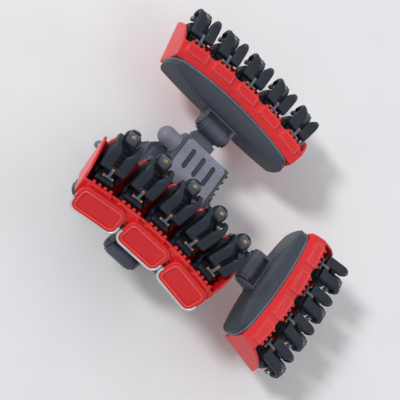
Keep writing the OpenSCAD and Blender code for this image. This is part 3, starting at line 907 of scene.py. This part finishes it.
def handle_cap(side):
    """Domed cap on one end of the cross bar."""
    start = HANDLE_L / 2 - 0.026
    profile = ((0.021, 0), (0.0245, 0.003), (0.0245, 0.016), (0.021, 0.021), (0.012, 0.0255))
    return placed(turned(profile, 20), along_x(side * start, STEM_Y, HANDLE_Z, side))


def buckle():
    """Orange release tongue on the lap pad's face."""
    steps = 6
    levels = []
    for k in range(steps + 1):
        size = math.sqrt(max(1 - abs(2 * k / steps - 1) ** 3, 0.04))
        levels.append((LAP_Z - 0.018 + 0.052 * k / steps, oval(0.05 * size, 0.02 * size, 3.0, 20)))
    return stacked(CHEST_Y - LAP_D / 2, levels)


def dress_restraint(row, index, matrix):
    """Foam, steel and handle of one seat's restraint."""
    tag = f"{row}_{index}"
    body = f"harness_{tag}"
    foam = [shoulder_sleeve(-1), shoulder_sleeve(1), lap_pad()]
    steel = [restraint_arm(-1), restraint_arm(1), hinge_eye(-1), hinge_eye(1)]
    grip = [handle_stem(), handle_bar()]
    caps = [handle_cap(-1), handle_cap(1), buckle()]
    groups = (("restraint_pads", foam, "restraint_foam", "restraint_foam", 70),
              ("restraint_arms", steel, "bare_steel", "bare_steel", 42),
              ("restraint_handle", grip, "handle_grey", "restraint_foam", 60),
              ("restraint_caps", caps, "orange_grip", "restraint_foam", 50))
    for name, parts, finish, slot, crease in groups:
        moved = [placed(part, matrix) for part in parts]
        obj = piece(f"{name}_{tag}", moved, body, finish, crease)
        if name == "restraint_pads":
            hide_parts(body)


# Trays and hulls


def arc_line(row, y, z, inset, steps=48):
    """A line that follows a row's arc at that distance to the rear and height."""
    half = half_length(row) - inset
    return [deck_frame(row, half * (2 * k / steps - 1)) @ Vector((0, y, z)) for k in range(steps + 1)]


def panel_bead():
    """Raised bead round the face of one calf panel."""
    inset = 0.032
    height = PANEL_Z[1] - PANEL_Z[0]
    loop = rounded_loop(PANEL_W - 2 * inset, height - 2 * inset, 0.03)
    path = [Vector((x, -FASCIA_FRONT - PANEL_T, sum(PANEL_Z) / 2 + z)) for x, z in loop]
    return rod(path, BEAD_R, FORWARD, closed=True)


def panel_teeth():
    """Short fins that step the top edge of one panel."""
    count = 4
    pitch = 0.112
    width = 0.06
    depth = 0.05
    height = 0.062
    foot = PANEL_Z[1] - 0.012
    levels = [(foot + height * share, oval(width * size, depth * size, 5.0, 20))
              for share, size in ((0, 1), (0.7, 1), (0.92, 0.86), (1, 0.6))]
    tooth = stacked(0.004 - FASCIA_FRONT, levels)
    return [placed(tooth, Matrix.Translation(((k - (count - 1) / 2) * pitch, 0, 0))) for k in range(count)]


def shell_rim():
    """Rolled rim round the arched shell behind one seat."""
    half = SHELL_W / 2
    foot = BACK_WALL_H - 0.03
    steps = 24
    arch = [math.pi * (1 - k / steps) for k in range(steps + 1)]
    line = [(half * math.cos(angle), SHELL_H - half + half * math.sin(angle)) for angle in arch]
    y = TRAY_BACK + SHELL_PROUD - WALL / 2
    path = [Vector((x, y, z)) for x, z in ((-half, foot), *line, (half, foot))]
    return rod(path, RIM_R, FORWARD, count=14)


def wing_line(row, side, inset, x, thickness):
    """A round bar along one end wing, that far inside its curved edge."""
    radius = WING_R - inset
    ends = (TRAY_BACK - 0.008 - inset / 2, 0.03 - FASCIA_FRONT + inset)
    first, last = [math.acos((y - WING_CENTRE) / radius) for y in ends]
    steps = 24
    path = []
    for k in range(steps + 1):
        angle = first + (last - first) * k / steps
        path.append(Vector((side * x, WING_CENTRE + radius * math.cos(angle), radius * math.sin(angle))))
    return placed(rod(path, thickness, ACROSS, count=14), deck_frame(row, side * half_length(row)))


def dress_tray(row):
    """Rims, beads and fins of one red moulding."""
    body = f"gondola_{row}"
    sideways = (row_frame(row).to_3x3() @ FORWARD).normalized()
    rims = on_seats(row, shell_rim())
    for y, z in ((TRAY_BACK - WALL / 2, BACK_WALL_H), (WALL / 2 - FASCIA_FRONT, FASCIA_H)):
        rims.append(rod(arc_line(row, y, z, inset=0.02), RIM_R, sideways, count=14))
    rims += [wing_line(row, side, 0, -0.0205, RIM_R - 0.006) for side in (-1, 1)]
    piece(f"tray_rims_{row}", rims, body, "red_gelcoat", crease=60)
    # Beads in the paler red: a painted highlight.
    beads = on_seats(row, panel_bead()) + [wing_line(row, side, 0.11, -0.002, 0.007) for side in (-1, 1)]
    piece(f"panel_beads_{row}", beads, body, "red_bead_painted_highlight", crease=60)
    teeth = [copy for tooth in panel_teeth() for copy in on_seats(row, tooth)]
    piece(f"panel_teeth_{row}", teeth, body, "red_gelcoat", crease=50)


def hull_plan(length, depth):
    """(along, rearward, toward) points round a hull's plan: two straight sides and two round ends."""
    corner = 0.3
    spacing = 0.03
    end_steps = 16
    straight = 2 * (length - corner)
    runs = round(straight / spacing)
    plan = []
    for side in (-1, 1):
        for k in range(runs):
            plan.append((side * (straight / 2 - straight * k / runs), side * depth, Vector((0, side, 0))))
        for k in range(end_steps):
            angle = math.radians(90 + 180 * k / end_steps)
            x = side * math.cos(angle)
            y = side * math.sin(angle)
            plan.append((corner * x - side * straight / 2, depth * y, Vector((x, y, 0))))
    return plan


def hull_line(row, drop, proud):
    """(point, facing) places round a hull's side, that far below its deck and proud of its skin."""
    mesh = nodes[f"hull_{row}"].data
    skin = BVHTree.FromPolygons([vertex.co for vertex in mesh.vertices],
                                [polygon.vertices for polygon in mesh.polygons])
    reach = 0.25
    places = []
    for along, y, toward in hull_plan(half_length(row), HULL_HALF):
        here = deck_frame(row, along)
        facing = (here.to_3x3() @ toward).normalized()
        start = here @ Vector((0, y, -drop)) + facing * reach
        point = skin.ray_cast(start, -facing, 2 * reach)[0]
        if point is not None:
            places.append((point + facing * proud, facing))
    return places


def dress_hull(row):
    """Trim line and rivets round one hull."""
    body = f"gondola_{row}"
    section = ((0.016, 0.001), (0.019, 0.007), (0.031, 0.009),
               (0.043, 0.007), (0.046, 0.001), (0.031, -0.006))
    lines = [hull_line(row, drop, proud) for drop, proud in section]
    rings = [[point for point, facing in places] for places in zip(*lines)]
    piece(f"hull_trim_{row}", [loft(rings, closed=True)], body, "trim_strip", crease=60)
    rivets = hull_line(row, 0.066, -0.001)[::5]
    repeated(f"hull_rivets_{row}", rivets, RIVETS, body, "hull_gelcoat", radius=0.009)


def pod_bead(width, face):
    """Bead round the recessed face of one pod."""
    height = POD_Z[1] - POD_Z[0]
    loop = rounded_loop(width - 2 * POD_BORDER, height - 2 * POD_BORDER, POD_CORNER - POD_BORDER, POD_STEPS)
    path = [Vector((x, face, sum(POD_Z) / 2 + z)) for x, z in loop]
    return rod(path, POD_BEAD_R, FORWARD, closed=True, count=12)


def pod_nose(width, face):
    """Rolled edge of the pale strip, along the lower side of one pod."""
    loop = rounded_loop(width, POD_Z[1] - POD_Z[0], POD_CORNER, POD_STEPS)
    lower = [(x, sum(POD_Z) / 2 + z) for x, z in loop[len(loop) // 2:]]
    line = [(-width / 2, POD_NOSE_TOP), *lower, (width / 2, POD_NOSE_TOP)]
    path = [Vector((x, face + 0.4 * POD_NOSE_R, z)) for x, z in line]
    return rod(path, POD_NOSE_R, FORWARD, count=12)


def dress_pods():
    """Beads round the recessed faces of the right row's pods, and the rolled edges of their pale strips."""
    span = 2 * half_length("right") / POD_COUNT
    width = span - POD_GAP
    face = -FASCIA_FRONT - PANEL_T - POD_T
    spots = [deck_frame("right", (k - (POD_COUNT - 1) / 2) * span) for k in range(POD_COUNT)]
    # Pod beads in the paler red: a painted highlight.
    beads = [placed(pod_bead(width, face), spot) for spot in spots]
    piece("pod_beads_right", beads, "gondola_right", "red_bead_painted_highlight", crease=60)
    noses = [placed(pod_nose(width, face), spot) for spot in spots]
    piece("pod_noses_right", noses, "gondola_right", "pale_rim", crease=60)


# Pivots, hub and running gear


def circle_places(centre, facing, start, radius, count):
    """Places on a circle about a facing axis, beginning in the start direction."""
    places = []
    for k in range(count):
        turn = Matrix.Rotation(2 * math.pi * (k + 0.5) / count, 4, facing)
        places.append((centre + turn @ start * radius, facing))
    return places


def dress_pivot(row):
    """Bolt rings on both ears of one pitch pivot."""
    matrix = row_frame(row)
    turn = matrix.to_3x3()
    ear_x = 0.338
    ring_r = 0.086
    places = []
    for side in (-1, 1):
        centre = matrix @ Vector((side * ear_x, 0, 0))
        places += circle_places(centre, turn @ ACROSS * side, turn @ UP, ring_r, 8)
    repeated(f"pivot_bolts_{row}", places, BOLTS, f"gondola_{row}", "bare_steel", head=0.012, height=0.01)


def edge_places(low, high, inset, pitch, z):
    """Upward places round the edge of a level rectangle."""
    places = []
    for axis in (0, 1):
        other = 1 - axis
        run = high[axis] - low[axis] - 2 * inset
        count = max(2, round(run / pitch))
        for k in range(count + 1 - axis * 2):
            at = low[axis] + inset + run * (k + axis) / count
            for edge in (low[other] + inset, high[other] - inset):
                point = Vector((0, 0, z))
                point[axis] = at
                point[other] = edge
                places.append((point, UP))
    return places


def dress_hub():
    """Bolts along the hub's foot, left out where an arm stands on it."""
    low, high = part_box("hub_housing")
    foot = low.z + 0.07
    flange = 0.023
    along = (-0.57, -0.38, 0.38, 0.57)
    ends = ((low.x + flange, (-0.38, -0.19, 0, 0.19, 0.38)), (high.x - flange, (-0.38, 0.38)))
    spots = [(x, y) for y in (low.y + flange, high.y - flange) for x in along]
    spots += [(x, y) for x, row in ends for y in row]
    places = [(Vector((x, y, foot)), UP) for x, y in spots]
    repeated("hub_foot_bolts", places, BOLTS, "chassis", "bare_steel", head=0.014, height=0.013)


def dress_cover():
    """Bolts round the drive's cover, and slats over dark backs in its three slots, the backs being painted shade.
    """
    low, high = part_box("drive_cover")
    bolts = edge_places(low, high, 0.075, 0.16, high.z)
    repeated("cover_bolts", bolts, BOLTS, "chassis", "bare_steel", head=0.012, height=0.01)
    slot_pitch = 0.24
    slat_pitch = 0.034
    slats = 11
    lean = Vector((0, -0.6, 0.8))
    slot_y = high.y + 0.07 - 0.4
    slot_xs = [(low.x + high.x) / 2 + column * slot_pitch for column in (-1, 0, 1)]
    blades = [(Vector((x, slot_y + (k - (slats - 1) / 2) * slat_pitch, low.z + 0.019)), lean)
              for x in slot_xs for k in range(slats)]
    repeated("vent_slats", blades, SLATS, "chassis", "slate_paint",
             length=0.094, depth=0.036, thickness=0.006)
    # Dark backs under the slots: painted shade.
    back = stacked(0, [(z, oval(0.092, 0.416, 6.0, 28)) for z in (0.001, 0.004)])
    backs = [placed(back, Matrix.Translation((x, slot_y, low.z))) for x in slot_xs]
    piece("vent_shade_backs", backs, "chassis", "painted_slot_shade")


def dress_motor():
    """Ring of bolts on the motor's flange."""
    low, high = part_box("drive_motor")
    flange = Vector((high.x - 0.04, (low.y + high.y) / 2, (low.z + high.z) / 2))
    places = circle_places(flange, -ACROSS, UP, 0.18, 12)
    repeated("motor_bolts", places, BOLTS, "chassis", "bare_steel", head=0.0075, height=0.008)


def dress_breathers():
    """Breather caps on the hub's shoulders."""
    cap = turned(((0.03, 0), (0.034, 0.004), (0.034, 0.014), (0.024, 0.018), (0.024, 0.03), (0.045, 0.034),
                  (0.05, 0.042), (0.05, 0.066), (0.044, 0.078), (0.02, 0.084)), 28)
    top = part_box("hub_housing")[1].z
    spots = ((-0.56, -0.32), (-0.56, -0.02), (0.62, -0.36))
    caps = [placed(cap, Matrix.Translation((x, y, top))) for x, y in spots]
    piece("breather_caps", caps, "chassis", "light_paint")


# Wheels: diameter, width, bore, axis and corners of each kind, and shares of the diameter or the width

WHEELS = {"run": (0.32, 0.08, 0.0602, "Y", 48), "guide": (0.2, 0.05, 0.0502, "Z", 36),
          "upstop": (0.18, 0.05, 0.0502, "Y", 36)}
CORNERS = ("fl", "fr", "rl", "rr")
WHEEL_RIM = 0.36
WHEEL_BOSS = 0.08
WHEEL_WEB = 0.45


def tread_profile(diameter, width):
    """Closed outline of a crowned tread on its rim."""
    crown = 0.008
    outer = diameter / 2
    rim = diameter * WHEEL_RIM
    return ((rim, -width / 2), (outer - crown, -width / 2), (outer, crown - width / 2),
            (outer, width / 2 - crown), (outer - crown, width / 2), (rim, width / 2))


def hub_profile(diameter, width, bore):
    """Closed outline of a dished hub: bearing boss, web and rim seat."""
    boss = bore / 2 + diameter * WHEEL_BOSS
    rim = diameter * WHEEL_RIM - 0.0005
    lip = width / 2 - 0.004
    web = width * WHEEL_WEB / 2
    half = width / 2 + 0.005
    side = ((bore / 2, half - 0.002), (bore / 2 + 0.002, half), (boss - 0.003, half), (boss, half - 0.003),
            (boss + 0.004, web), (rim - 0.012, web), (rim - 0.008, lip), (rim, lip))
    return [(radius, -height) for radius, height in side] + list(reversed(side))


def dress_wheels():
    """Tread, hub and web bolts of every wheel."""
    for kind, (diameter, width, bore, axis, count) in WHEELS.items():
        ring_r = (bore / 2 + diameter * (WHEEL_BOSS + WHEEL_RIM)) / 2
        for corner in CORNERS:
            body = f"{kind}_wheel_{corner}"
            centre = Vector(joints[f"{body}_turn"]["pos_m"])
            lie = Matrix.Translation(centre)
            if axis == "Y":
                lie = lie @ Matrix.Rotation(math.pi / 2, 4, "X")
            tread = placed(turned_ring(tread_profile(diameter, width), count), lie)
            hub = placed(turned_ring(hub_profile(diameter, width, bore), 32), lie)
            tyre = piece(f"{kind}_tread_{corner}", [tread], body, "wheel_tread")
            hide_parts(body)
            piece(f"{kind}_hub_{corner}", [hub], body, "bare_steel")
            places = []
            for side in (-1, 1):
                facing = (lie.to_3x3() @ UP) * side
                web = centre + facing * width * WHEEL_WEB / 2
                places += circle_places(web, facing, lie.to_3x3() @ ACROSS, ring_r, 6)
            repeated(f"{kind}_bolts_{corner}", places, BOLTS, body, "bare_steel", head=0.006, height=0.005)


def dress_carriers():
    """Nuts on the outer ends of the running shafts and up-stop pins."""
    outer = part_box("wheel_carriers")[1].y
    for kind, head, height in (("run", 0.046, 0.03), ("upstop", 0.034, 0.022)):
        places = []
        for corner in CORNERS:
            centre = Vector(joints[f"{kind}_wheel_{corner}_turn"]["pos_m"])
            facing = Vector((0, math.copysign(1, centre.y), 0))
            places.append((Vector((centre.x, facing.y * outer, centre.z)), facing))
        repeated(f"{kind}_shaft_nuts", places, BOLTS, "chassis", "bare_steel", head=head, height=height)


# Stage, light and camera

VIEW_RIGHT = Vector((0.700, 0.547, 0.459))
VIEW_UP = Vector((-0.655, 0.748, 0.108))
VIEW_BACK = Vector((-0.284, -0.376, 0.882))
VIEW_CENTRE = Vector((0.55, 0.25, 1.35))
VIEW_DISTANCE = 26.8
LENS = 135


def pale_floor():
    """A wide pale ground under the car."""
    half = 60
    mesh = bpy.data.meshes.new("floor")
    corners = [(-half, -half, 0), (half, -half, 0), (half, half, 0), (-half, half, 0)]
    mesh.from_pydata(corners, [], [(0, 1, 2, 3)])
    floor = bpy.data.objects.new("floor", mesh)
    bpy.context.scene.collection.objects.link(floor)
    material = bpy.data.materials.new("floor_matt")
    material.use_nodes = True
    tree = material.node_tree
    shader = tree.nodes["Principled BSDF"]
    shader.inputs["Roughness"].default_value = 0.9
    tone = spread(tree, noise(tree, 0.8, 2.0), 0.3, 0.7, 0.0, 1.0)
    tree.links.new(mixed(tree, tone, colour("f1f2f3"), colour("f5f5f6")), shader.inputs["Base Color"])
    mesh.materials.append(material)


def studio_world():
    """Even soft light from all round, with a pale backdrop for what the camera, metal and gloss see."""
    world = bpy.data.worlds.new("studio")
    bpy.context.scene.world = world
    world.use_nodes = True
    tree = world.node_tree
    sky = tree.nodes["Background"]
    sky.inputs["Color"].default_value = (0.95, 0.97, 1.0, 1.0)
    sky.inputs["Strength"].default_value = 0.46
    backdrop = made(tree, "ShaderNodeBackground", {"Color": (0.86, 0.87, 0.88, 1.0)})
    rays = made(tree, "ShaderNodeLightPath").outputs
    mirrored = sums(tree, "MAXIMUM", rays["Is Glossy Ray"], rays["Is Transmission Ray"])
    seen = sums(tree, "MAXIMUM", rays["Is Camera Ray"], mirrored)
    choice = made(tree, "ShaderNodeMixShader", {0: seen, 1: sky.outputs[0], 2: backdrop.outputs[0]})
    feed(tree, tree.nodes["World Output"].inputs["Surface"], choice.outputs[0])


def lamp(name, kind, toward, energy, size):
    """A lamp that shines on the car from a direction."""
    light = bpy.data.lights.new(name, kind)
    light.energy = energy
    if kind == "SUN":
        light.angle = size
    else:
        light.size = size
    obj = bpy.data.objects.new(name, light)
    obj.location = VIEW_CENTRE + toward.normalized() * 14
    obj.rotation_mode = "QUATERNION"
    obj.rotation_quaternion = toward.to_track_quat("Z", "Y")
    bpy.context.scene.collection.objects.link(obj)


def studio_lamps():
    """Soft key from the picture's upper left, and a wide fill from its right."""
    lamp("key", "SUN", VIEW_UP * 0.45 + VIEW_BACK * 0.9 - VIEW_RIGHT * 0.3, 1.55, math.radians(9))
    lamp("fill", "AREA", VIEW_RIGHT * 0.8 + VIEW_BACK * 0.6, 130, 7)
    lamp("sky_panel", "AREA", VIEW_UP * 0.7 + VIEW_BACK * 0.5, 190, 6)


def picture_camera():
    """A long lens along the picture's own line of sight, with its roll."""
    camera = bpy.data.cameras.new("camera")
    camera.lens = LENS
    camera.clip_end = 400
    obj = bpy.data.objects.new("camera", camera)
    bpy.context.scene.collection.objects.link(obj)
    turn = Matrix((VIEW_RIGHT, VIEW_UP, VIEW_BACK)).transposed()
    obj.matrix_world = Matrix.Translation(VIEW_CENTRE + VIEW_BACK * VIEW_DISTANCE) @ turn.to_4x4()
    bpy.context.scene.camera = obj


paint_frame()
for row in SEATS:
    dress_seats(row)
    for index, matrix in enumerate(seat_frames(row), 1):
        dress_restraint(row, index, matrix)
    dress_tray(row)
    dress_hull(row)
    dress_pivot(row)
dress_pods()
dress_hub()
dress_cover()
dress_motor()
dress_breathers()
dress_wheels()
dress_carriers()
pale_floor()
studio_world()
studio_lamps()
picture_camera()
bpy.context.scene.view_settings.view_transform = "Standard"
